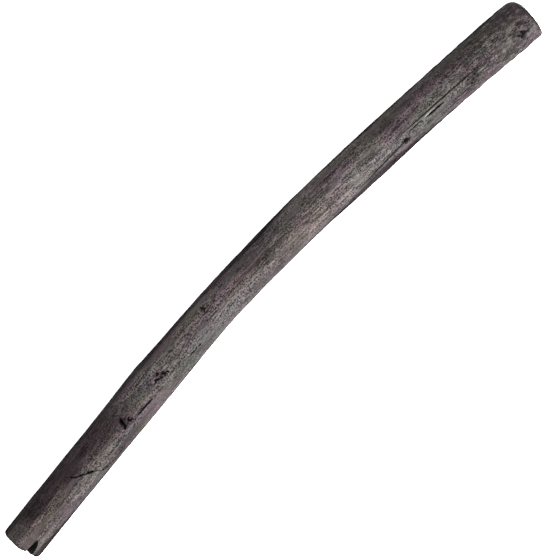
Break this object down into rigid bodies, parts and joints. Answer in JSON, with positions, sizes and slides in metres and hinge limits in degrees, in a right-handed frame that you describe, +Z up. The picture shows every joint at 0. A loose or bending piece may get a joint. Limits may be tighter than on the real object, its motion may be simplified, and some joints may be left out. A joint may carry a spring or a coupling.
{
  "type": "charcoal stick",
  "caption": "Thick natural willow drawing charcoal: a gently crooked, charred peeled rod with knots, drying cracks, a split drawing end and a sawn butt.",
  "frame": {"origin": "centre of the footprint, on the table that the stick lies on", "axes": "+X from the split drawing end to the sawn butt, +Y towards the outside of the bend, +Z up"},
  "size_m": [0.1501, 0.0138, 0.0097],
  "materials": {
    "charred_skin": "satin",
    "charred_wood": "matte",
    "charred_heartwood": "matte",
    "charred_pith": "matte",
    "charred_knot": "matte"
  },
  "bodies": {
    "root": {"charred_skin": "charred_skin", "outer_growth_ring": "charred_wood", "inner_growth_ring": "charred_heartwood", "pith_core": "charred_pith", "foot_knot": "charred_knot", "swell_knot": "charred_knot", "bud_scar": "charred_knot", "flank_knot": "charred_knot", "butt_knot": "charred_knot"}
  },
  "joints": []
}
